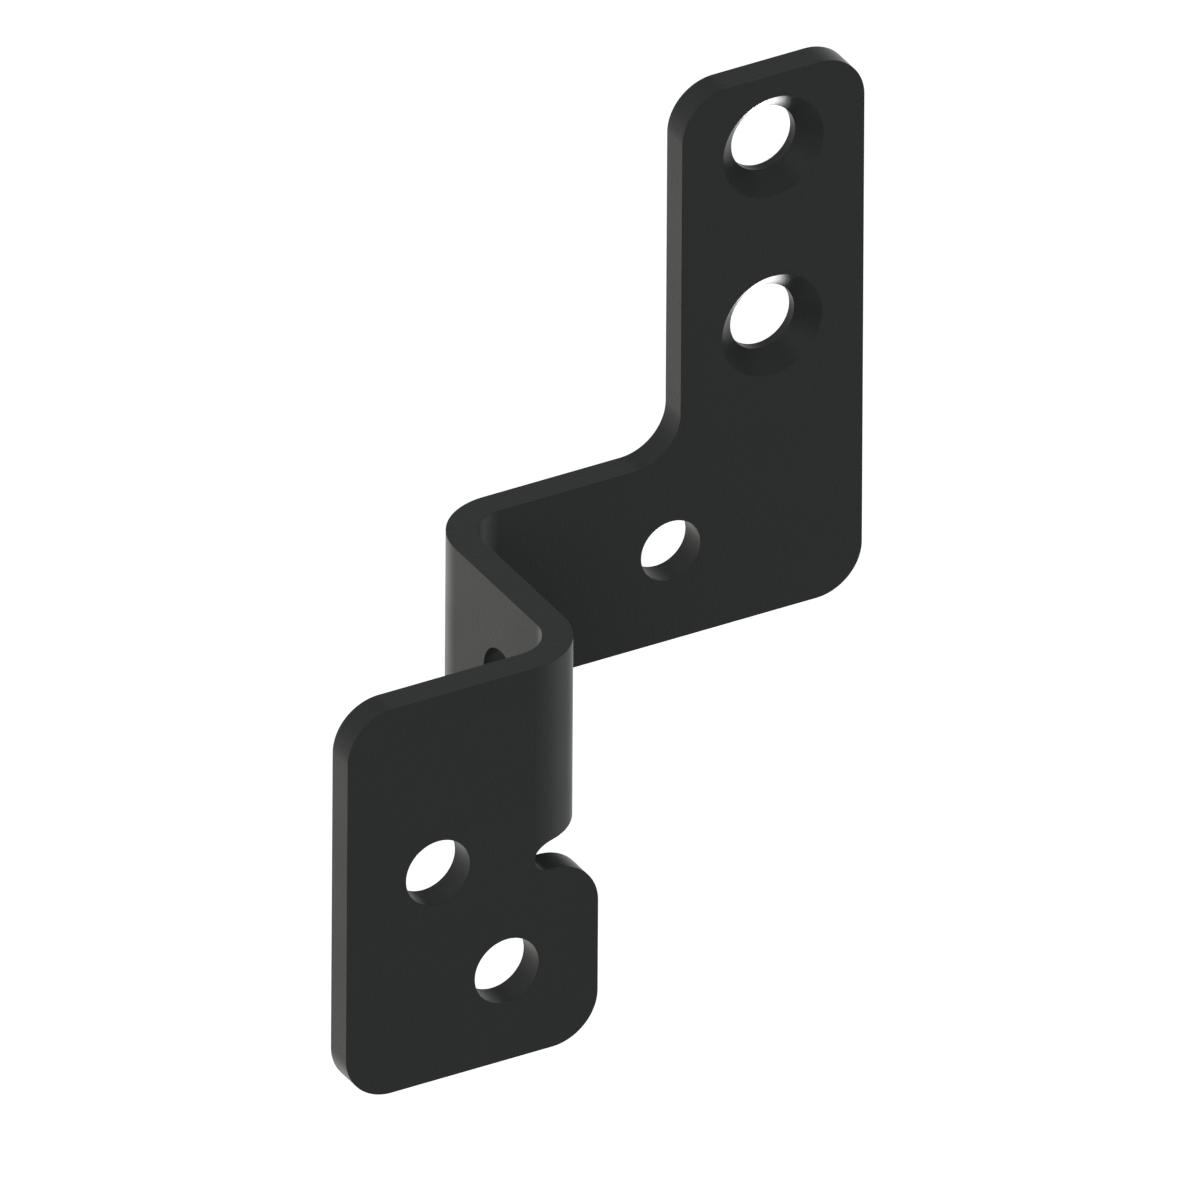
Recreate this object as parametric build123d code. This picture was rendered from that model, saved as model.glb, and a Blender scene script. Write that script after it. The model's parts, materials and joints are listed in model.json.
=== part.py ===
from build123d import *
import os
from math import cos, radians, sin, tan

# Harness bracket: one strip of steel sheet, cut out flat and folded twice into a Z. Its back plate is screwed
# to a wall or frame, and its front pad holds a harness clamp well clear of that wall.
# Millimetres. X runs to the right along both plates, Y from the front pad to the wall, and Z upwards.
# The origin is on the back plate's wall face, midway between its two countersunk screws.

# Sheet and its two folds
thickness = 3.0
bend_radius = 4.0  # on the inside of each fold
neutral_share = 0.33  # depth of the unstretched layer from the inside of a fold, as a share of the thickness
stand_off = 27.0  # from the pad's front face to the back plate's front face
band_height = 20.0  # the strip that is folded: top of the pad, web and foot of the back plate
corner_radius = 5.0  # every rounded corner of the cut-out, outside and inside

# Back plate, an L of a foot and an upright leg
plate_height = 60.0
leg_width = 20.0
plate_length = 44.0  # from the web's right face to the plate's right edge

# Front pad, with a tab that hangs below the folded band
tab_height = 20.0
relief_width = 3.0  # slot that parts the tab from the fold above it

# Countersunk screw holes, on the leg's centre line
screw_hole = 7.0
screw_head = 11.0
screw_head_angle = 90.0
screw_spacing = 20.0
screw_edge = 8.0  # from the upper hole to the top edge

# Clamp holes in the pad, two on a slanting line
clamp_hole = 7.0
clamp_spacing = 15.24
clamp_slant = 60.0  # degrees from level, rising to the left
clamp_edge = 10.0  # from a hole to the edge beside it: left, right and bottom

# Tie holes, at half the band's height
tie_hole = 6.5
foot_hole_reach = 23.0  # from the web's right face
web_hole_depth = 14.0  # from the pad's front face

# Levels
plate_top = screw_spacing / 2 + screw_edge
plate_bottom = plate_top - plate_height
band_bottom = plate_bottom
band_top = band_bottom + band_height
band_middle = band_bottom + band_height / 2
slot_middle = band_bottom - relief_width / 2
slot_bottom = band_bottom - relief_width
pad_bottom = slot_bottom - tab_height

# Plan
outer_radius = bend_radius + thickness
leg_right = leg_width / 2
leg_left = -leg_width / 2
web_right = leg_right - plate_length
pad_right = web_right
pad_left = pad_right - 2 * clamp_edge - clamp_spacing * cos(radians(clamp_slant))
pad_front = -stand_off - thickness
pad_fold_x = web_right - outer_radius
pad_fold_y = pad_front + outer_radius
plate_fold_x = web_right + bend_radius
plate_fold_y = -outer_radius

# Holes
lower_clamp = (pad_right - clamp_edge, pad_bottom + clamp_edge)
upper_clamp = (
    lower_clamp[0] - clamp_spacing * cos(radians(clamp_slant)),
    lower_clamp[1] + clamp_spacing * sin(radians(clamp_slant)),
)
drill_length = 3 * thickness

# Faces that the flat outlines are drawn on: each looks at the viewer, and its plate grows forwards from it
plate_back_plane = Plane.XZ
pad_back_plane = Plane.XZ.offset(stand_off)


def block(left, right, low, high):
    """Rectangle between two upright lines and two level ones."""
    return Pos((left + right) / 2, (low + high) / 2) * Rectangle(right - left, high - low)


def rounded(outline, corners, radius):
    """The outline with the named corners rounded."""
    picked = [outline.vertices().sort_by_distance((*corner, 0))[0] for corner in corners]
    return fillet(picked, radius)


def back_plate():
    """L-shaped plate from the fold's tangent line to its right edge."""
    foot = block(plate_fold_x, leg_right, band_bottom, band_top)
    leg = block(leg_left, leg_right, band_bottom, plate_top)
    outline = rounded(
        foot + leg,
        [(leg_right, band_bottom), (leg_right, plate_top), (leg_left, plate_top), (leg_left, band_top)],
        corner_radius,
    )
    return extrude(plate_back_plane * outline, amount=thickness)


def front_pad():
    """Flat plate up to the fold, with the tab that runs on below the relief slot."""
    slot_round_x = pad_fold_x + relief_width / 2
    body = block(pad_left, pad_fold_x, pad_bottom, band_top)
    tab = block(pad_left, pad_right, pad_bottom, slot_middle)
    slot_end = Pos(slot_round_x, slot_middle) * Circle(relief_width / 2)
    slot_run = block(slot_round_x, pad_right, slot_bottom, slot_middle)
    outline = rounded(
        body + tab - slot_end - slot_run,
        [(pad_left, band_top), (pad_left, pad_bottom), (pad_right, pad_bottom)],
        corner_radius,
    )
    # The tab's upper corner can be no rounder than the straight edge between it and the slot's round end
    tab_corner_radius = min(corner_radius, 0.98 * (pad_right - slot_round_x))
    outline = rounded(outline, [(pad_right, slot_bottom)], tab_corner_radius)
    return extrude(pad_back_plane * outline, amount=thickness)


def fold(axis_x, axis_y, sheet_middle):
    """Quarter turn of the band round an upright axis, from the flat sheet to the web."""
    section = Plane.YZ.offset(axis_x) * Pos(sheet_middle, band_middle) * Rectangle(thickness, band_height)
    return revolve(section, axis=Axis((axis_x, axis_y, 0), (0, 0, 1)), revolution_arc=90)


def web():
    """Flat stretch between the two folds, square to both plates."""
    return Pos(web_right - thickness / 2, (pad_fold_y + plate_fold_y) / 2, band_middle) * Box(
        thickness, plate_fold_y - pad_fold_y, band_height
    )


def relief_lip():
    """Upper half of the slot's round end, which the fold carries round with it.

    The slot is cut in the flat sheet, so its wall stays square to the sheet: every line across it points at
    the fold's axis. Between two upright planes such a wall is ruled, and each plane meets it in a quarter
    of an ellipse that widens with the plane's distance from the axis.
    """
    round_turn = (relief_width / 2) / (bend_radius + neutral_share * thickness)

    def section(distance):
        reach = distance * tan(round_turn)
        corner = (pad_fold_x, band_bottom)
        far = (pad_fold_x + reach, band_bottom)
        near = (pad_fold_x, slot_middle)
        curve = EllipticalCenterArc((far[0], slot_middle), reach, relief_width / 2, 90, arc_size=90)
        outline = make_face([Line(near, corner), Line(corner, far), curve])
        return Plane.XZ.offset(distance - pad_fold_y) * outline

    inside = 0.9 * bend_radius * cos(round_turn)
    outside = 1.1 * outer_radius
    wedge = loft([section(inside), section(outside)], ruled=True)
    ring = Circle(outer_radius) - Circle(bend_radius)
    ring = Pos(pad_fold_x, pad_fold_y, slot_bottom) * extrude(ring, amount=relief_width)
    return wedge & ring


def drill(plane, diameter):
    """Straight hole through the sheet that the plane lies on."""
    return plane * Cylinder(diameter / 2, drill_length)


def clamp_holes():
    """The pad's two plain holes."""
    return [
        drill(Plane.XZ.offset(-pad_front) * Pos(x, z), clamp_hole)
        for x, z in (lower_clamp, upper_clamp)
    ]


def tie_holes():
    """One hole in the foot of the back plate and one in the web, at the same height."""
    foot = Plane.XZ * Pos(web_right + foot_hole_reach, band_middle)
    side = Plane.YZ.offset(web_right) * Pos(pad_front + web_hole_depth, band_middle)
    return [drill(foot, tie_hole), drill(side, tie_hole)]


def screw_holes():
    """Two holes countersunk from the front, so that flat heads lie flush in the leg."""
    face = Plane.XZ.offset(thickness)
    sink = CounterSinkHole(screw_hole / 2, screw_head / 2, drill_length, screw_head_angle, mode=Mode.PRIVATE)
    return [face * Pos(0, side * screw_spacing / 2) * sink for side in (1, -1)]


def build_bracket():
    """The folded sheet with all its holes, as one solid."""
    sheet = back_plate() + fold(plate_fold_x, plate_fold_y, -thickness / 2) + web()
    sheet += fold(pad_fold_x, pad_fold_y, pad_front + thickness / 2)
    sheet += front_pad()
    sheet += relief_lip()
    sheet -= clamp_holes() + tie_holes() + screw_holes()
    return sheet


bracket = build_bracket()
bracket.label = "bracket"

os.makedirs("parts", exist_ok=True)
export_step(bracket, "parts/bracket.step")
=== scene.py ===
"""Harness bracket: the looks of one folded, powder-coated steel sheet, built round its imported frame.

The sheet is drawn as a flat blank. One node tree gives it its thickness, rounds its edges as the coat does,
and folds it twice. Lengths are metres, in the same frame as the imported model: X runs to the right along both
plates, Y from the front pad to the wall, and Z upwards.
"""

import json
import logging
from dataclasses import dataclass, field
from enum import Enum
from math import ceil, cos, hypot, pi, radians, sin, sqrt, tan
from typing import Any, Sequence

import bmesh
import bpy
from mathutils import Matrix, Vector
from mathutils.geometry import delaunay_2d_cdt
from mathutils.kdtree import KDTree


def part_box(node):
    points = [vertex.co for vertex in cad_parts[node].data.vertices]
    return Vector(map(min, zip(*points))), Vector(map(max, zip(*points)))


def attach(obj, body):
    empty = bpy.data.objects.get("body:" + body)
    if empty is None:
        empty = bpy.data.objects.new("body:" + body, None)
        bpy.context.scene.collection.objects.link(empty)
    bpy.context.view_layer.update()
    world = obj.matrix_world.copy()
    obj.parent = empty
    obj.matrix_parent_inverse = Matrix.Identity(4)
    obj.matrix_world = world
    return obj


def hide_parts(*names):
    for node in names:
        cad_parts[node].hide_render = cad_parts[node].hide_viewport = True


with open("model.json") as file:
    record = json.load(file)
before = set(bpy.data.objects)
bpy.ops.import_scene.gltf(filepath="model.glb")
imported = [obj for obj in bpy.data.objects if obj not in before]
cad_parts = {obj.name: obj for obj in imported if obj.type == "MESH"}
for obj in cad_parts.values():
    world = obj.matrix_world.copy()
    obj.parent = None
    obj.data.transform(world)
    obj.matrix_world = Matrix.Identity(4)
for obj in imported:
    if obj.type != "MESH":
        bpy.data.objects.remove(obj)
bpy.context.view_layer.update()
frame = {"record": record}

MM = 0.001
NODE = "bracket"
BODY = "root"
SLOT = "powder_coat"
QUARTER_TURN = pi / 2
WHOLE_TRIANGLES = 1  # the triangulation's own number for plain triangles inside the outline
MIX_NUMBERS = (2, 3)  # the two inputs of a mix node that take numbers
MIX_COLOURS = (6, 7)  # and the two that take colours

Point = tuple[float, float]
Socket = bpy.types.NodeSocket
log = logging.getLogger("harness_bracket")


def mount(name: str) -> dict[str, Any]:
    """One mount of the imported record.

    Args:
        name: the mount's name in the record.

    Returns:
        The mount, with its place in metres and its sizes in millimetres.
    """
    return next(entry for entry in frame["record"]["mounts"] if entry["name"] == name)


class Sketch:
    """Adds nodes to one tree and wires them as they are added."""

    def __init__(self, tree: bpy.types.NodeTree) -> None:
        """Keeps the tree that is drawn in."""
        self.tree = tree

    def add(self, kind: str, inputs: dict[Any, Any] | None = None, **settings: Any) -> bpy.types.Node:
        """Adds one node.

        Args:
            kind: the node's type name.
            inputs: the value or socket for each input, by the input's name or number.
            settings: attributes of the node itself.

        Returns:
            The new node.
        """
        node = self.tree.nodes.new(kind)
        for name, value in settings.items():
            setattr(node, name, value)
        for key, value in (inputs or {}).items():
            if isinstance(value, Socket):
                self.wire(value, node.inputs[key])
            else:
                node.inputs[key].default_value = value
        return node

    def wire(self, source: Socket, target: Socket) -> None:
        """Joins an output to an input."""
        self.tree.links.new(source, target)

    def math(self, operation: str, *values: Any) -> Socket:
        """Adds a math node and returns its result."""
        return self.add("ShaderNodeMath", dict(enumerate(values)), operation=operation).outputs[0]

    def clamp(self, value: Any, high: Any) -> Socket:
        """Keeps a number between nothing and a highest value."""
        return self.math("MINIMUM", self.math("MAXIMUM", value, 0.0), high)

    def logic(self, operation: str, *values: Any) -> Socket:
        """Adds a true-or-false node and returns its result."""
        return self.add("FunctionNodeBooleanMath", dict(enumerate(values)), operation=operation).outputs[0]

    def is_near(self, value: Any, target: Any) -> Socket:
        """True where a number is the target, to within a thousandth."""
        return self.math("COMPARE", value, target, 1e-3)

    def place(self, x: Any = 0.0, y: Any = 0.0, z: Any = 0.0) -> Socket:
        """Puts three numbers together into one place."""
        return self.add("ShaderNodeCombineXYZ", {0: x, 1: y, 2: z}).outputs[0]

    def moved(self, geometry: Socket, **where: Socket) -> Socket:
        """Moves every point by its Offset, or to its Position."""
        return self.add("GeometryNodeSetPosition", {"Geometry": geometry, **where}).outputs[0]

    def named(self, name: str, kind: str) -> Socket:
        """Reads one of the mesh's own attributes."""
        node = self.add("GeometryNodeInputNamedAttribute", {"Name": name}, data_type=kind)
        return node.outputs["Attribute"]

    def store(
        self, geometry: Socket, name: str, value: Any, kind: str, domain: str, where: Any = True
    ) -> Socket:
        """Writes one of the mesh's own attributes.

        Args:
            geometry: the mesh that comes in.
            name: the attribute's name.
            value: its value, or a socket that gives it.
            kind: its data type.
            domain: the part of the mesh that it belongs to.
            where: which elements get it.

        Returns:
            The mesh that goes on.
        """
        inputs = {"Geometry": geometry, "Name": name, "Value": value, "Selection": where}
        node = self.add("GeometryNodeStoreNamedAttribute", inputs, data_type=kind, domain=domain)
        return node.outputs["Geometry"]


@dataclass(frozen=True)
class SheetSizes:
    """Sizes of the sheet, its folds and its cut-out that the record's mounts don't give."""

    thickness: float = 3.0 * MM
    bend_radius: float = 4.0 * MM
    neutral_share: float = 0.33
    band_height: float = 20.0 * MM
    plate_length: float = 44.0 * MM
    plate_height: float = 60.0 * MM
    leg_width: float = 20.0 * MM
    corner_radius: float = 5.0 * MM
    relief_width: float = 3.0 * MM
    screw_head: float = 11.0 * MM
    screw_head_angle: float = radians(90.0)
    clamp_slant: float = radians(60.0)
    edge_radius: float = 0.03 * MM

    @property
    def outer_radius(self) -> float:
        """Radius on the outside of a fold."""
        return self.bend_radius + self.thickness

    @property
    def neutral_radius(self) -> float:
        """Radius of the layer that keeps its length in a fold."""
        return self.bend_radius + self.neutral_share * self.thickness

    @property
    def fold_length(self) -> float:
        """Length of flat sheet that one fold takes up."""
        return self.neutral_radius * QUARTER_TURN


@dataclass(frozen=True)
class Corner:
    """One corner of the flat outline, and how far it is rounded."""

    place: Point
    radius: float


@dataclass
class FlatBlank:
    """The sheet before it is folded, drawn along its own length and up its height.

    A point's first number is its place along the sheet, which is the frame's X up to the first fold. All
    loops are drawn at the inner edge of the rounded rim, so that the rim stands outside them.
    """

    sizes: SheetSizes
    arc_step: float = radians(3.0)
    fold_steps: int = 36
    face_size: float = 2.5 * MM  # side of a face on the flat stretches
    same_place: float = 0.001 * MM  # points closer than this are one
    tiniest: float = 0.0001 * MM  # the triangulation's own limit for the same
    low: Vector = field(default_factory=lambda: Vector(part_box(NODE)[0]))
    high: Vector = field(default_factory=lambda: Vector(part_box(NODE)[1]))
    band_bottom: float = field(init=False)
    band_top: float = field(init=False)
    slot_bottom: float = field(init=False)
    slot_middle: float = field(init=False)
    pad_right: float = field(init=False)
    first_fold: float = field(init=False)
    web_start: float = field(init=False)
    web_length: float = field(init=False)
    second_fold: float = field(init=False)
    plate_shift: float = field(init=False)

    def __post_init__(self) -> None:
        """Works out the levels and the places along the sheet."""
        s = self.sizes
        self.band_bottom = self.high.z - s.plate_height
        self.band_top = self.band_bottom + s.band_height
        self.slot_bottom = self.band_bottom - s.relief_width
        self.slot_middle = self.band_bottom - s.relief_width / 2
        self.pad_right = self.high.x - s.plate_length
        self.first_fold = self.pad_right - s.outer_radius
        self.web_start = self.first_fold + s.fold_length
        self.web_length = self.high.y - self.low.y - 2 * s.outer_radius
        self.second_fold = self.web_start + self.web_length
        plate_start = self.second_fold + s.fold_length
        self.plate_shift = plate_start - (self.pad_right + s.bend_radius)

    def on_plate(self, x: float) -> float:
        """Place along the sheet of a point on the back plate, from its X in the frame."""
        return x + self.plate_shift

    def near_fold(self, point: Vector) -> bool:
        """Tells whether a point of the band is bent, or less than half a face from the bend.

        Args:
            point: its place along the sheet and its level.

        Returns:
            True on a fold and close beside it.
        """
        margin = self.face_size / 2
        length = self.sizes.fold_length + 2 * margin
        starts = (self.first_fold - margin, self.second_fold - margin)
        return point.y > self.slot_middle and any(0 < point.x - start < length for start in starts)

    def outline(self) -> list[Point]:
        """Draws the edge of the blank, with its relief slot.

        Returns:
            The closed loop's points, anticlockwise.
        """
        s = self.sizes
        right = self.on_plate(self.high.x)
        leg_left = right - s.leg_width
        slot_end = s.relief_width / 2
        corners = [
            Corner((self.low.x, self.low.z), s.corner_radius),
            Corner((self.pad_right, self.low.z), s.corner_radius),
            Corner((self.pad_right, self.slot_bottom), s.corner_radius),
            Corner((self.first_fold, self.slot_bottom), slot_end),
            Corner((self.first_fold, self.band_bottom), slot_end),
            Corner((right, self.band_bottom), s.corner_radius),
            Corner((right, self.high.z), s.corner_radius),
            Corner((leg_left, self.high.z), s.corner_radius),
            Corner((leg_left, self.band_top), s.corner_radius),
            Corner((self.low.x, self.band_top), s.corner_radius),
        ]
        return self.divided(self.rounded_loop(corners))

    def rounded_loop(self, corners: Sequence[Corner]) -> list[Vector]:
        """Closed loop through square corners, each turned into an arc and all moved in to the rim's edge.

        Args:
            corners: the corners, anticlockwise round the loop.

        Returns:
            The loop's points, with none twice.
        """
        loop: list[Vector] = []
        steps = round(QUARTER_TURN / self.arc_step)
        for index, corner in enumerate(corners):
            here = Vector(corner.place)
            arrive = (here - Vector(corners[index - 1].place)).normalized()
            leave = (Vector(corners[(index + 1) % len(corners)].place) - here).normalized()
            bulges = arrive.cross(leave) > 0
            centre = here + (leave - arrive) * corner.radius
            radius = corner.radius + (-1 if bulges else 1) * self.sizes.edge_radius
            for step in range(steps + 1):
                turn = QUARTER_TURN * step / steps
                point = centre + (arrive * sin(turn) - leave * cos(turn)) * radius
                if not loop or (point - loop[-1]).length > self.same_place:
                    loop.append(point)
        return loop

    def divided(self, loop: Sequence[Vector]) -> list[Point]:
        """A closed loop with its long, straight stretches cut into the length of a face, away from the folds.

        Args:
            loop: the loop's points.

        Returns:
            The same points and the new ones, in order.
        """
        points = []
        for index, start in enumerate(loop):
            end = loop[(index + 1) % len(loop)]
            count = max(1, round((end - start).length / self.face_size))
            stretch = [start.lerp(end, step / count) for step in range(count)]
            points += [start, *(point for point in stretch[1:] if not self.near_fold(point))]
        return [(point.x, point.y) for point in points]

    def circle(self, centre: Point, radius: float) -> list[Point]:
        """Draws a hole.

        Args:
            centre: the hole's middle.
            radius: the loop's own radius.

        Returns:
            The closed loop's points.
        """
        count = round(2 * pi / self.arc_step)
        turns = [2 * pi * step / count for step in range(count)]
        return [(centre[0] + radius * cos(turn), centre[1] + radius * sin(turn)) for turn in turns]

    def screws(self) -> list[Point]:
        """Places the two countersunk holes, one above the other.

        Returns:
            Their centres.
        """
        pattern = mount("screw_holes")
        x, _, z = pattern["pos_m"]
        rise = pattern["dims"]["spacing_y_mm"] * MM / 2
        return [(self.on_plate(x), z + rise), (self.on_plate(x), z - rise)]

    def clamps(self) -> list[Point]:
        """Places the pad's two holes, on a line that rises to the left.

        Returns:
            Their centres.
        """
        pattern = mount("clamp_holes")
        x, _, z = pattern["pos_m"]
        reach = pattern["dims"]["pcd_mm"] * MM / 2
        across = reach * cos(self.sizes.clamp_slant)
        up = reach * sin(self.sizes.clamp_slant)
        return [(x - across, z + up), (x + across, z - up)]

    def ties(self) -> list[Point]:
        """Places the foot's hole and the web's hole.

        Returns:
            Their centres.
        """
        foot = mount("foot_hole")["pos_m"]
        web = mount("web_hole")["pos_m"]
        into_web = web[1] - (self.low.y + self.sizes.outer_radius)
        return [(self.on_plate(foot[0]), foot[2]), (self.web_start + into_web, web[2])]

    def hole_loops(self) -> list[list[Point]]:
        """Draws every hole at its rim's inner edge.

        Returns:
            One closed loop for each, with the two screw holes first.
        """
        rows = [
            (self.screws(), mount("screw_holes")["dims"]["hole_r_mm"]),
            (self.clamps(), mount("clamp_holes")["dims"]["hole_r_mm"]),
            (self.ties(), mount("foot_hole")["dims"]["r_mm"]),
        ]
        rim = self.sizes.edge_radius
        return [self.circle(centre, radius * MM + rim) for centres, radius in rows for centre in centres]

    def sink_loops(self) -> list[list[Point]]:
        """Closed loop round the mouth of each countersink."""
        return [self.circle(centre, self.sizes.screw_head / 2) for centre in self.screws()]

    def fold_lines(self) -> list[tuple[Point, Point]]:
        """Divides both folds, upright at each step of the bend and level across it.

        Returns:
            The two ends of each line.
        """
        s = self.sizes
        rows = round(s.band_height / self.face_size)
        levels = [self.band_bottom + s.band_height * row / rows for row in range(1, rows)]
        lines = []
        for start in (self.first_fold, self.second_fold):
            for step in range(self.fold_steps + 1):
                x = start + s.fold_length * step / self.fold_steps
                lines.append(((x, self.slot_middle), (x, self.band_top + s.relief_width)))
            lines += [((start, level), (start + s.fold_length, level)) for level in levels]
        return lines

    def inner_points(self, loops: Sequence[Sequence[Point]]) -> list[Vector]:
        """Even rows of points over the flat stretches, so that no face there is long and thin.

        Args:
            loops: every loop that is drawn, which the points keep clear of.

        Returns:
            The points. Those outside the blank are dropped with its surroundings.
        """
        drawn = [(*point, 0.0) for loop in loops for point in loop]
        tree = KDTree(len(drawn))
        for index, place in enumerate(drawn):
            tree.insert(place, index)
        tree.balance()
        pitch = self.face_size * sqrt(3.0) / 2
        columns = ceil((self.on_plate(self.high.x) - self.low.x) / self.face_size)
        rows = ceil((self.high.z - self.low.z) / pitch)
        points = []
        for row in range(rows):
            for column in range(columns):
                along = self.low.x + (column + row % 2 / 2) * self.face_size
                point = Vector((along, self.low.z + row * pitch))
                _, _, distance = tree.find((*point, 0.0))
                if distance > self.face_size / 2 and not self.near_fold(point):
                    points.append(point)
        return points

    def sink_depth(self, point: Vector) -> float:
        """Measures how deep a countersink's cone lies below the front face.

        Args:
            point: a place on the flat front face.

        Returns:
            The depth there, which is nothing outside the cones.
        """
        depth = 0.0
        for centre in self.screws():
            inside = self.sizes.screw_head / 2 - hypot(point.x - centre[0], point.z - centre[1])
            depth = max(depth, inside / tan(self.sizes.screw_head_angle / 2))
        return depth if depth > self.same_place else 0.0

    def mesh(self) -> bpy.types.Mesh:
        """Flat front face of the blank, in the plane of X and Z, turned to the viewer.

        Returns:
            A mesh with two attributes on its points: outward, the way out of the sheet across the rim, and
            sink, the depth of a countersink's cone.
        """
        outline, holes, sinks = self.outline(), self.hole_loops(), self.sink_loops()
        loops = [outline, *holes, *sinks]
        points, faces, edges = [], [], []
        for loop in loops:
            faces.append(list(range(len(points), len(points) + len(loop))))
            points += [Vector(point) for point in loop]
        for sink, hole in zip(faces[1 + len(holes):], faces[1:]):
            edges += list(zip(sink, hole))
        for line in self.fold_lines():
            edges.append((len(points), len(points) + 1))
            points += [Vector(end) for end in line]
        points += self.inner_points(loops)
        hole_faces = set(range(1, 1 + len(holes)))
        found, _, triangles, _, _, origins = delaunay_2d_cdt(
            points, edges, faces, WHOLE_TRIANGLES, self.tiniest
        )
        kept = [
            triangle for triangle, origin in zip(triangles, origins)
            if 0 in origin and not hole_faces.intersection(origin)
        ]
        mesh = bpy.data.meshes.new("blank")
        mesh.from_pydata([(point.x, 0.0, point.y) for point in found], [], kept)
        self.mark_rim(mesh)
        return mesh

    def mark_rim(self, mesh: bpy.types.Mesh) -> None:
        """Drops unused points, then stores the rim's direction and the countersinks' depth.

        Args:
            mesh: the flat face.
        """
        work = bmesh.new()
        work.from_mesh(mesh)
        loose = [vert for vert in work.verts if not vert.link_faces]
        bmesh.ops.delete(work, geom=loose, context="VERTS")
        if sum(face.normal.y for face in work.faces) > 0:
            bmesh.ops.reverse_faces(work, faces=work.faces)
        outward = work.verts.layers.float_vector.new("outward")
        sink = work.verts.layers.float.new("sink")
        for vert in work.verts:
            vert[sink] = self.sink_depth(vert.co)
            normals = [self.edge_normal(edge) for edge in vert.link_edges if edge.is_boundary]
            if normals:
                total = sum(normals, Vector())
                vert[outward] = total * (2 / total.length_squared)
        work.to_mesh(mesh)
        work.free()

    @staticmethod
    def edge_normal(edge: bmesh.types.BMEdge) -> Vector:
        """Finds the way out of the sheet across one of its boundary edges.

        Args:
            edge: the boundary edge.

        Returns:
            The direction, which lies in the sheet's plane and is square to the edge.
        """
        loop = edge.link_loops[0]
        travel = (loop.link_loop_next.vert.co - loop.vert.co).normalized()
        return travel.cross(loop.face.normal)


class FoldInput(Enum):
    """Named sizes that the folding tree takes."""

    THICKNESS = "Thickness"
    EDGE_RADIUS = "Edge radius"
    INNER_RADIUS = "Fold inner radius"
    NEUTRAL_RADIUS = "Fold neutral radius"
    FOLD_START = "First fold start"
    WEB_LENGTH = "Web length"
    FOLD_LEVEL = "Lowest folded level"
    FRONT = "Front face"


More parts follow.
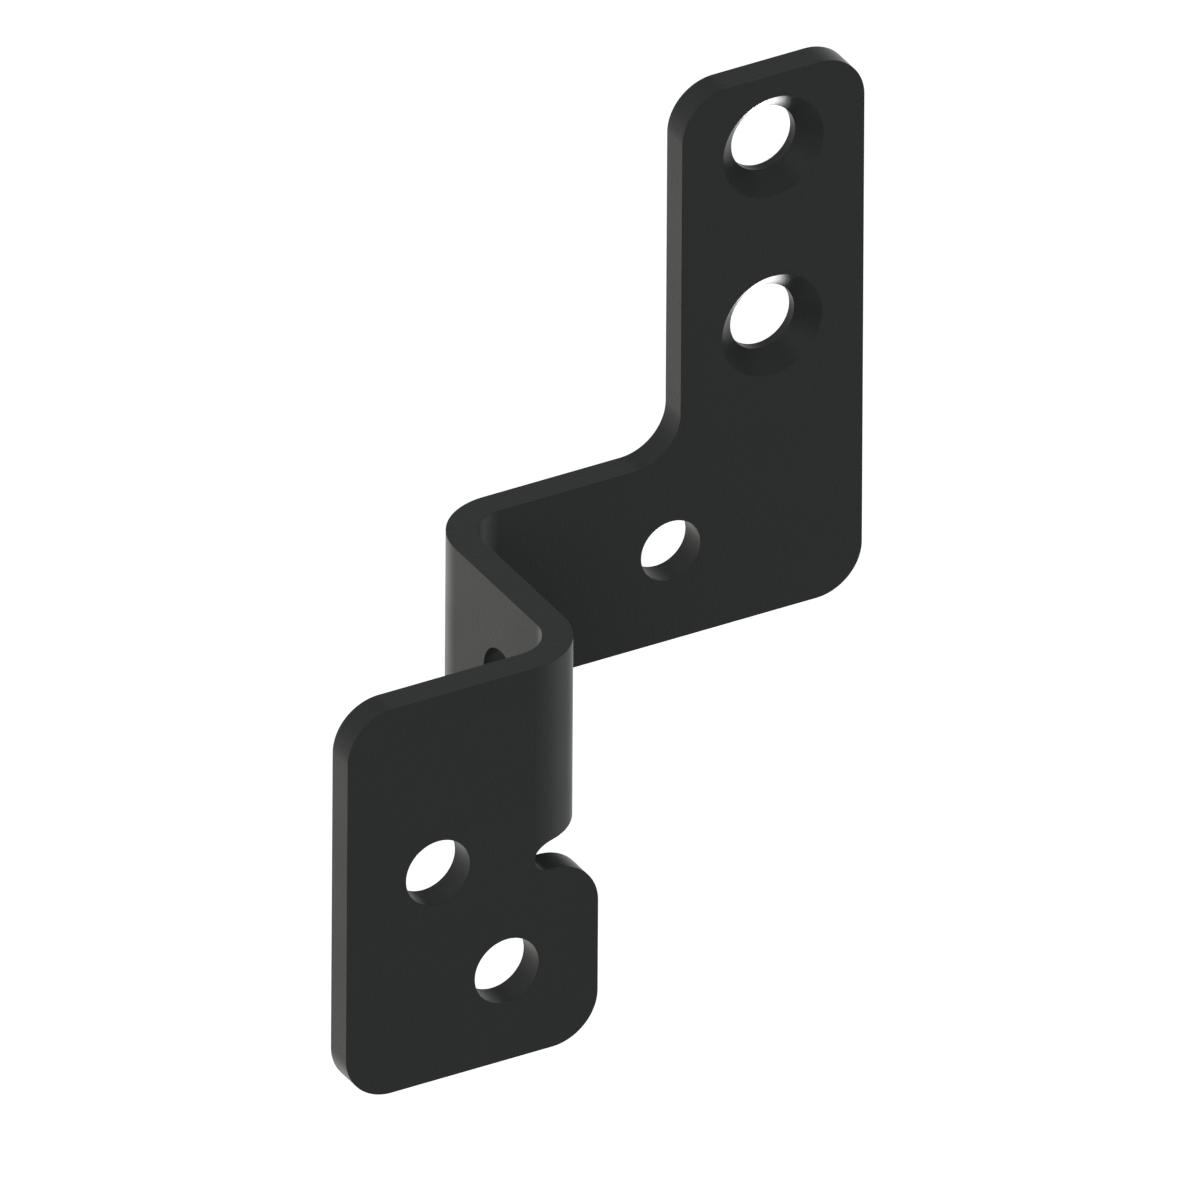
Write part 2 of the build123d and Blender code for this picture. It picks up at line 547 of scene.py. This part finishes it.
@dataclass
class FoldingTree:
    """Node tree that gives a flat blank its thickness and rounded rim, and folds it into a Z."""

    rim_steps: int = 3
    crisp_angle: float = radians(10.0)
    merge_distance: float = 0.003 * MM

    @property
    def last_ring(self) -> int:
        """Number of the rim's last ring, on the back face."""
        return 2 * self.rim_steps + 1

    def build(self, material: bpy.types.Material) -> tuple[bpy.types.NodeTree, dict[FoldInput, str]]:
        """Draws the tree.

        Args:
            material: the finish that the tree gives the sheet.

        Returns:
            The tree, and the identifier of each named input.
        """
        tree = bpy.data.node_groups.new("fold_sheet", "GeometryNodeTree")
        tree.interface.new_socket("Geometry", in_out="INPUT", socket_type="NodeSocketGeometry")
        names = {}
        for item in FoldInput:
            socket = tree.interface.new_socket(item.value, in_out="INPUT", socket_type="NodeSocketFloat")
            names[item] = socket.identifier
        tree.interface.new_socket("Geometry", in_out="OUTPUT", socket_type="NodeSocketGeometry")
        sketch = Sketch(tree)
        start = sketch.add("NodeGroupInput")
        size = {item: start.outputs[item.value] for item in FoldInput}
        thick = self.thicken(sketch, start.outputs["Geometry"], size)
        folded = self.fold(sketch, thick, size)
        shaded = self.shade(sketch, folded)
        real = sketch.add("GeometryNodeRealizeInstances", {"Geometry": shaded}).outputs[0]
        dressed = sketch.add("GeometryNodeSetMaterial", {"Geometry": real, "Material": material}).outputs[0]
        sketch.add("NodeGroupOutput", {0: dressed})
        return tree, names

    def thicken(self, sketch: Sketch, blank: Socket, size: dict[FoldInput, Socket]) -> Socket:
        """Rolls the rim over from the front face, ring by ring, and closes it with a back face.

        Args:
            sketch: the tree that is drawn in.
            blank: the flat front face.
            size: the tree's named sizes.

        Returns:
            The closed, still flat sheet.
        """
        rolled = self.roll_rim(sketch, blank, size)
        back = sketch.moved(blank, Offset=sketch.place(y=size[FoldInput.THICKNESS]))
        back = sketch.store(back, "ring", float(self.last_ring), "FLOAT", "POINT")
        back = sketch.store(back, "sink", 0.0, "FLOAT", "POINT")
        back = sketch.add("GeometryNodeFlipFaces", {0: back}).outputs[0]
        joined = sketch.add("GeometryNodeJoinGeometry")
        for part in (back, rolled):
            sketch.wire(part, joined.inputs[0])
        inputs = {0: joined.outputs[0], "Distance": self.merge_distance}
        return sketch.add("GeometryNodeMergeByDistance", inputs).outputs[0]

    def roll_rim(self, sketch: Sketch, blank: Socket, size: dict[FoldInput, Socket]) -> Socket:
        """Extrudes the boundary once for each ring, then moves the rings onto the rounded rim.

        Args:
            sketch: the tree that is drawn in.
            blank: the flat front face.
            size: the tree's named sizes.

        Returns:
            The front face with its rim, open at the back.
        """
        boundary = sketch.is_near(sketch.add("GeometryNodeInputMeshEdgeNeighbors").outputs[0], 1.0)
        zone = sketch.add("GeometryNodeRepeatInput")
        zone_end = sketch.add("GeometryNodeRepeatOutput")
        zone.pair_with_output(zone_end)
        zone_end.repeat_items.new("BOOLEAN", "Rim")
        zone.inputs["Iterations"].default_value = self.last_ring
        sketch.wire(blank, zone.inputs["Geometry"])
        sketch.wire(boundary, zone.inputs["Rim"])
        extrude = sketch.add(
            "GeometryNodeExtrudeMesh",
            {"Mesh": zone.outputs["Geometry"], "Selection": zone.outputs["Rim"], "Offset Scale": 0.0},
            mode="EDGES",
        )
        count = sketch.math("ADD", zone.outputs["Iteration"], 1.0)
        top = extrude.outputs["Top"]
        ringed = sketch.store(extrude.outputs["Mesh"], "ring", count, "FLOAT", "POINT", top)
        sketch.wire(ringed, zone_end.inputs["Geometry"])
        sketch.wire(top, zone_end.inputs["Rim"])

        ring = sketch.named("ring", "FLOAT")
        step = sketch.math("MINIMUM", ring, sketch.math("SUBTRACT", float(self.last_ring), ring))
        turn = sketch.math("MULTIPLY", step, QUARTER_TURN / self.rim_steps)
        outset = sketch.math("MULTIPLY", sketch.math("SINE", turn), size[FoldInput.EDGE_RADIUS])
        drop = sketch.math("SUBTRACT", 1.0, sketch.math("COSINE", turn))
        drop = sketch.math("MULTIPLY", drop, size[FoldInput.EDGE_RADIUS])
        from_front = sketch.math("ADD", sketch.named("sink", "FLOAT"), drop)
        from_back = sketch.math("SUBTRACT", size[FoldInput.THICKNESS], drop)
        is_back = sketch.math("GREATER_THAN", ring, self.rim_steps + 0.5)
        depths = dict(zip(MIX_NUMBERS, (from_front, from_back)))
        depth = sketch.add("ShaderNodeMix", {"Factor": is_back, **depths}).outputs[0]
        outward = {0: sketch.named("outward", "FLOAT_VECTOR"), "Scale": outset}
        across = sketch.add("ShaderNodeVectorMath", outward, operation="SCALE").outputs[0]
        offset = sketch.add("ShaderNodeVectorMath", {0: across, 1: sketch.place(y=depth)}).outputs[0]
        return sketch.moved(zone_end.outputs["Geometry"], Offset=offset)

    def fold(self, sketch: Sketch, sheet: Socket, size: dict[FoldInput, Socket]) -> Socket:
        """Bends the band a quarter turn back from the pad, and a quarter turn out again to the plate.

        Args:
            sketch: the tree that is drawn in.
            sheet: the flat sheet, with its length along X and its depth along Y.
            size: the tree's named sizes.

        Returns:
            The folded sheet, with how far each point has turned in its attribute turned.
        """
        place = sketch.add("ShaderNodeSeparateXYZ", {0: sketch.add("GeometryNodeInputPosition").outputs[0]})
        along, depth, level = place.outputs
        neutral, inner = size[FoldInput.NEUTRAL_RADIUS], size[FoldInput.INNER_RADIUS]
        fold_length = sketch.math("MULTIPLY", neutral, QUARTER_TURN)
        in_band = sketch.math("GREATER_THAN", level, size[FoldInput.FOLD_LEVEL])
        past = sketch.math("MAXIMUM", sketch.math("SUBTRACT", along, size[FoldInput.FOLD_START]), 0.0)
        past = sketch.math("MULTIPLY", past, in_band)
        after_first = sketch.math("SUBTRACT", past, fold_length)
        after_web = sketch.math("SUBTRACT", after_first, size[FoldInput.WEB_LENGTH])
        first = sketch.clamp(sketch.math("DIVIDE", past, neutral), QUARTER_TURN)
        second = sketch.clamp(sketch.math("DIVIDE", after_web, neutral), QUARTER_TURN)
        web = sketch.clamp(after_first, size[FoldInput.WEB_LENGTH])
        plate = sketch.math("MAXIMUM", sketch.math("SUBTRACT", after_web, fold_length), 0.0)

        outer = sketch.math("ADD", inner, size[FoldInput.THICKNESS])
        first_radius = sketch.math("SUBTRACT", outer, depth)
        second_radius = sketch.math("ADD", inner, depth)
        x = sketch.math("SUBTRACT", along, past)
        x = sketch.math("MULTIPLY_ADD", sketch.math("SINE", first), first_radius, x)
        turned_out = sketch.math("SUBTRACT", 1.0, sketch.math("COSINE", second))
        x = sketch.math("MULTIPLY_ADD", turned_out, second_radius, x)
        x = sketch.math("ADD", x, plate)
        y = sketch.math("ADD", size[FoldInput.FRONT], outer)
        y = sketch.math("SUBTRACT", y, sketch.math("MULTIPLY", sketch.math("COSINE", first), first_radius))
        y = sketch.math("MULTIPLY_ADD", sketch.math("SINE", second), second_radius, y)
        y = sketch.math("ADD", y, web)
        marked = sketch.store(sheet, "turned", sketch.math("ADD", first, second), "FLOAT", "POINT")
        return sketch.moved(marked, Position=sketch.place(x, y, level))

    def shade(self, sketch: Sketch, sheet: Socket) -> Socket:
        """Shades folds, cones and rims smooth and flat faces flat, with a crisp line where they meet.

        Args:
            sketch: the tree that is drawn in.
            sheet: the folded sheet.

        Returns:
            The shaded sheet.
        """
        ring = sketch.named("ring", "FLOAT")
        quarters = sketch.math("DIVIDE", sketch.named("turned", "FLOAT"), QUARTER_TURN)
        is_straight = sketch.is_near(quarters, sketch.math("ROUND", quarters))
        on_face = sketch.logic("OR", sketch.is_near(ring, 0.0), sketch.is_near(ring, float(self.last_ring)))
        is_level = sketch.is_near(sketch.math("DIVIDE", sketch.named("sink", "FLOAT"), MM), 0.0)
        plain = sketch.logic("AND", sketch.logic("AND", is_straight, on_face), is_level)
        smooth = sketch.add(
            "GeometryNodeSetShadeSmooth",
            {"Geometry": sheet, "Shade Smooth": sketch.logic("NOT", plain)},
            domain="FACE",
        ).outputs[0]

        ends = sketch.add("GeometryNodeInputMeshEdgeVertices")
        first, second = (
            sketch.add(
                "GeometryNodeSampleIndex",
                {"Geometry": sheet, "Value": ring, "Index": ends.outputs[index]},
                data_type="FLOAT",
                domain="POINT",
            ).outputs[0]
            for index in (0, 1)
        )
        is_border = sketch.is_near(first, 0.0)
        for border in (self.rim_steps, self.rim_steps + 1, self.last_ring):
            is_border = sketch.logic("OR", is_border, sketch.is_near(first, float(border)))
        angle = sketch.add("GeometryNodeInputMeshEdgeAngle").outputs[0]
        steep = sketch.math("GREATER_THAN", angle, self.crisp_angle)
        on_ring = sketch.logic("AND", sketch.is_near(first, second), is_border)
        return sketch.store(smooth, "sharp_edge", sketch.logic("AND", on_ring, steep), "BOOLEAN", "EDGE")


@dataclass(frozen=True)
class PowderCoat:
    """Satin black powder coat, with a faint orange peel and the grain of its powder."""

    colour: tuple[float, float, float] = (0.0210, 0.0231, 0.0225)
    tone_spread: float = 0.06
    roughness: tuple[float, float] = (0.34, 0.40)
    specular: float = 0.05
    film_size: float = 9.0 * MM
    film_detail: float = 3.0
    film_range: tuple[float, float] = (0.3, 0.7)
    peel_size: float = 0.45 * MM
    peel_detail: float = 2.0
    peel_height: float = 0.012 * MM
    grain_size: float = 0.18 * MM
    grain_detail: float = 1.0
    grain_height: float = 0.012 * MM

    def build(self) -> bpy.types.Material:
        """Draws the finish.

        Returns:
            The material.
        """
        material = bpy.data.materials.new(SLOT)
        material.use_nodes = True
        material.diffuse_color = (*self.colour, 1.0)
        material.node_tree.nodes.clear()
        sketch = Sketch(material.node_tree)
        place = sketch.add("ShaderNodeTexCoord").outputs["Object"]
        film = self.noise(sketch, place, self.film_size, self.film_detail)
        peel = self.noise(sketch, place, self.peel_size, self.peel_detail)
        grain = self.noise(sketch, place, self.grain_size, self.grain_detail)
        shades = [
            (*[part * (1 + spread) for part in self.colour], 1.0)
            for spread in (-self.tone_spread, self.tone_spread)
        ]
        tones = dict(zip(MIX_COLOURS, shades))
        tone = sketch.add("ShaderNodeMix", {"Factor": film, **tones}, data_type="RGBA")
        rough = sketch.add("ShaderNodeMapRange", dict(enumerate((film, *self.film_range, *self.roughness))))
        height = sketch.math("MULTIPLY_ADD", grain, self.grain_height / self.peel_height, peel)
        bump = sketch.add("ShaderNodeBump", {"Height": height, "Distance": self.peel_height, "Strength": 1.0})
        shader = sketch.add(
            "ShaderNodeBsdfPrincipled",
            {
                "Base Color": tone.outputs[2],
                "Roughness": rough.outputs[0],
                "Normal": bump.outputs[0],
                "Specular IOR Level": self.specular,
            },
        )
        sketch.add("ShaderNodeOutputMaterial", {"Surface": shader.outputs[0]})
        return material

    @staticmethod
    def noise(sketch: Sketch, place: Socket, size: float, detail: float) -> Socket:
        """Adds an uneven pattern, given the length of one wave of it."""
        return sketch.add("ShaderNodeTexNoise", {0: place, "Scale": 1 / size, "Detail": detail}).outputs[0]


@dataclass
class FoldedSheet:
    """The whole bracket: one sheet, folded twice."""

    sizes: SheetSizes = field(default_factory=SheetSizes)
    finish: PowderCoat = field(default_factory=PowderCoat)
    name: str = "bracket_sheet"

    def build(self) -> bpy.types.Object:
        """Makes the folded, coated sheet as one plain mesh.

        Returns:
            The piece, riding with the bracket's body and standing for its node.
        """
        piece = bpy.data.objects.new(self.name, self.folded_mesh())
        bpy.context.scene.collection.objects.link(piece)
        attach(piece, BODY)
        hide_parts(NODE)
        return piece

    def folded_mesh(self) -> bpy.types.Mesh:
        """Runs the flat blank through the folding tree.

        Returns:
            The sheet's mesh, with its finish.
        """
        blank = FlatBlank(self.sizes)
        flat = bpy.data.objects.new("blank", blank.mesh())
        bpy.context.scene.collection.objects.link(flat)
        tree, names = FoldingTree().build(self.finish.build())
        modifier = flat.modifiers.new("Fold", "NODES")
        modifier.node_group = tree
        values = {
            FoldInput.THICKNESS: self.sizes.thickness,
            FoldInput.EDGE_RADIUS: self.sizes.edge_radius,
            FoldInput.INNER_RADIUS: self.sizes.bend_radius,
            FoldInput.NEUTRAL_RADIUS: self.sizes.neutral_radius,
            FoldInput.FOLD_START: blank.first_fold,
            FoldInput.WEB_LENGTH: blank.web_length,
            FoldInput.FOLD_LEVEL: blank.slot_middle,
            FoldInput.FRONT: blank.low.y,
        }
        for item, value in values.items():
            modifier[names[item]] = value
        evaluated = flat.evaluated_get(bpy.context.evaluated_depsgraph_get())
        mesh = bpy.data.meshes.new_from_object(evaluated)
        flat.modifiers.remove(modifier)
        bpy.data.objects.remove(flat)
        mesh.name = self.name
        for spare in ("outward", "sink", "ring", "turned"):
            mesh.attributes.remove(mesh.attributes[spare])
        return mesh


@dataclass(frozen=True)
class SquareView:
    """Parallel view down onto the bracket from the front left."""

    azimuth: float = radians(-29.4506)
    elevation: float = radians(31.269)
    roll: float = radians(0.3333)
    width: float = 114.85 * MM
    aim: tuple[float, float, float] = (-34.0 * MM, -30.0 * MM, -22.0 * MM)
    across: float = 0.0226 * MM  # from the aim to the middle of the view
    up: float = 4.7656 * MM
    distance: float = 0.5
    nearest: float = 0.01
    farthest: float = 5.0

    def build(self) -> bpy.types.Object:
        """Sets up the scene's camera.

        Returns:
            The camera.
        """
        right = Vector((cos(self.azimuth), sin(self.azimuth), 0.0))
        level_back = Vector((sin(self.azimuth), -cos(self.azimuth), 0.0))
        back = level_back * cos(self.elevation) + Vector((0.0, 0.0, sin(self.elevation)))
        above = back.cross(right)
        turned_right = right * cos(self.roll) + above * sin(self.roll)
        turned_up = above * cos(self.roll) - right * sin(self.roll)
        data = bpy.data.cameras.new("camera")
        data.type = "ORTHO"
        data.ortho_scale = self.width
        data.clip_start = self.nearest
        data.clip_end = self.farthest
        camera = bpy.data.objects.new("camera", data)
        bpy.context.scene.collection.objects.link(camera)
        place = Vector(self.aim) + turned_right * self.across + turned_up * self.up + back * self.distance
        turn = Matrix((turned_right, turned_up, back)).transposed()
        camera.matrix_world = Matrix.Translation(place) @ turn.to_4x4()
        bpy.context.scene.camera = camera
        return camera


@dataclass(frozen=True)
class SoftLamp:
    """One large, soft lamp. At a level of 1 it lights a white face that is turned to it as white."""

    name: str
    towards: tuple[float, float, float]
    width: float
    level: float
    colour: tuple[float, float, float] = (1.0, 1.0, 1.0)


@dataclass
class Studio:
    """Pale floor, plain soft light and a white surround.

    Most lamps stand where one kind of face, such as the left ones or the holes' walls, mirrors them to the
    viewer.
    """

    floor_level: float = -1.40
    floor_size: float = 9.0
    floor_colour: tuple[float, float, float] = (0.80, 0.80, 0.80)
    surround: float = 0.20
    floor_lift: float = 0.88
    lamp_distance: float = 1.0
    middle: tuple[float, float, float] = (-26.0 * MM, -15.0 * MM, -24.0 * MM)
    lamps: tuple[SoftLamp, ...] = (
        SoftLamp("left_back_lamp", (-0.42, 0.74, -0.52), 1.2, 0.32, (1.0, 0.98, 0.89)),
        SoftLamp("upper_left_lamp", (-0.52, 0.74, 0.42), 1.4, 0.27),
        SoftLamp("right_back_lamp", (0.62, 0.77, -0.10), 1.0, 0.11),
        SoftLamp("front_left_lamp", (-0.74, -0.45, -0.45), 1.2, 0.15),
        SoftLamp("high_left_lamp", (-0.74, -0.36, 0.56), 1.2, 0.13),
        SoftLamp("viewer_lamp", (-0.58, -0.66, 0.48), 0.8, 0.31),
        SoftLamp("high_right_lamp", (0.42, -0.52, 0.74), 1.0, 0.20),
        SoftLamp("low_right_lamp", (0.75, -0.42, -0.52), 1.0, 0.29, (0.97, 0.98, 1.0)),
        SoftLamp("low_back_lamp", (0.38, 0.48, -0.79), 0.5, 0.71),
    )

    def build(self) -> None:
        """Sets up the floor, the surround and the lamps."""
        self.build_floor()
        self.build_surround()
        for lamp in self.lamps:
            self.build_lamp(lamp)

    def build_floor(self) -> bpy.types.Object:
        """Large flat floor well below the bracket, which hangs on its wall.

        Returns:
            The floor.
        """
        half = self.floor_size / 2
        mesh = bpy.data.meshes.new("floor")
        ring = [(-half, -half), (half, -half), (half, half), (-half, half)]
        mesh.from_pydata([(x, y, self.floor_level) for x, y in ring], [], [(0, 1, 2, 3)])
        floor = bpy.data.objects.new("floor", mesh)
        bpy.context.scene.collection.objects.link(floor)
        mesh.materials.append(self.floor_finish())
        return floor

    def seen_rays(self, sketch: Sketch) -> Socket:
        """Sorts the rays that show the background from those that carry light.

        Args:
            sketch: the tree that is drawn in.

        Returns:
            One for rays that show it, and nothing for the others.
        """
        path = sketch.add("ShaderNodeLightPath")
        seen = sketch.math("MAXIMUM", path.outputs["Is Camera Ray"], path.outputs["Is Glossy Ray"])
        return sketch.math("MAXIMUM", seen, path.outputs["Is Transmission Ray"])

    def floor_finish(self) -> bpy.types.Material:
        """Pale matt floor that shows as white and keeps its shadows, and is clear from below.

        Returns:
            The material.
        """
        material = bpy.data.materials.new("pale_floor")
        material.use_nodes = True
        material.node_tree.nodes.clear()
        sketch = Sketch(material.node_tree)
        matt = sketch.add("ShaderNodeBsdfDiffuse", {"Color": (*self.floor_colour, 1.0)})
        lift = sketch.math("MULTIPLY", self.seen_rays(sketch), self.floor_lift)
        glow = sketch.add("ShaderNodeEmission", {"Strength": lift})
        both = sketch.add("ShaderNodeAddShader", {0: matt.outputs[0], 1: glow.outputs[0]})
        clear = sketch.add("ShaderNodeBsdfTransparent")
        below = sketch.add("ShaderNodeNewGeometry").outputs["Backfacing"]
        mixed = sketch.add("ShaderNodeMixShader", {0: below, 1: both.outputs[0], 2: clear.outputs[0]})
        sketch.add("ShaderNodeOutputMaterial", {"Surface": mixed.outputs[0]})
        return material

    def build_surround(self) -> bpy.types.World:
        """Even light from all round, which shows as white.

        Returns:
            The world.
        """
        world = bpy.data.worlds.new("surround")
        world.use_nodes = True
        world.node_tree.nodes.clear()
        sketch = Sketch(world.node_tree)
        white = (1.0, 1.0, 1.0, 1.0)
        light = sketch.add("ShaderNodeBackground", {"Color": white, "Strength": self.surround})
        shown = sketch.add("ShaderNodeBackground", {"Color": white, "Strength": 1.0})
        inputs = {0: self.seen_rays(sketch), 1: light.outputs[0], 2: shown.outputs[0]}
        mixed = sketch.add("ShaderNodeMixShader", inputs)
        sketch.add("ShaderNodeOutputWorld", {"Surface": mixed.outputs[0]})
        bpy.context.scene.world = world
        return world

    def build_lamp(self, lamp: SoftLamp) -> bpy.types.Object:
        """One soft lamp, aimed at the bracket's middle.

        Args:
            lamp: the lamp's place and strength.

        Returns:
            The lamp.
        """
        direction = Vector(lamp.towards).normalized()
        data = bpy.data.lights.new(lamp.name, "AREA")
        data.shape = "DISK"
        data.size = lamp.width
        data.color = lamp.colour
        data.energy = lamp.level * pi ** 2 * (self.lamp_distance ** 2 + (lamp.width / 2) ** 2)
        made = bpy.data.objects.new(lamp.name, data)
        bpy.context.scene.collection.objects.link(made)
        made.location = Vector(self.middle) + direction * self.lamp_distance
        made.visible_camera = False
        made.rotation_mode = "QUATERNION"
        made.rotation_quaternion = direction.to_track_quat("Z", "Y")
        return made


def report(piece: bpy.types.Object) -> None:
    """Logs a piece's triangles, open edges and volume.

    Args:
        piece: the finished piece.
    """
    work = bmesh.new()
    work.from_mesh(piece.data)
    open_edges = sum(not edge.is_manifold for edge in work.edges)
    volume = work.calc_volume() / MM ** 3
    triangles = sum(len(face.verts) - 2 for face in work.faces)
    work.free()
    log.info("%s: %d triangles, %d open edges, %.1f mm3", piece.name, triangles, open_edges, volume)


def main() -> None:
    """Builds the camera, the studio and the bracket, in order."""
    logging.basicConfig(level=logging.INFO, format="%(message)s")
    bpy.context.scene.view_settings.view_transform = "Standard"
    SquareView().build()
    Studio().build()
    report(FoldedSheet().build())


if __name__ == "__main__":
    main()
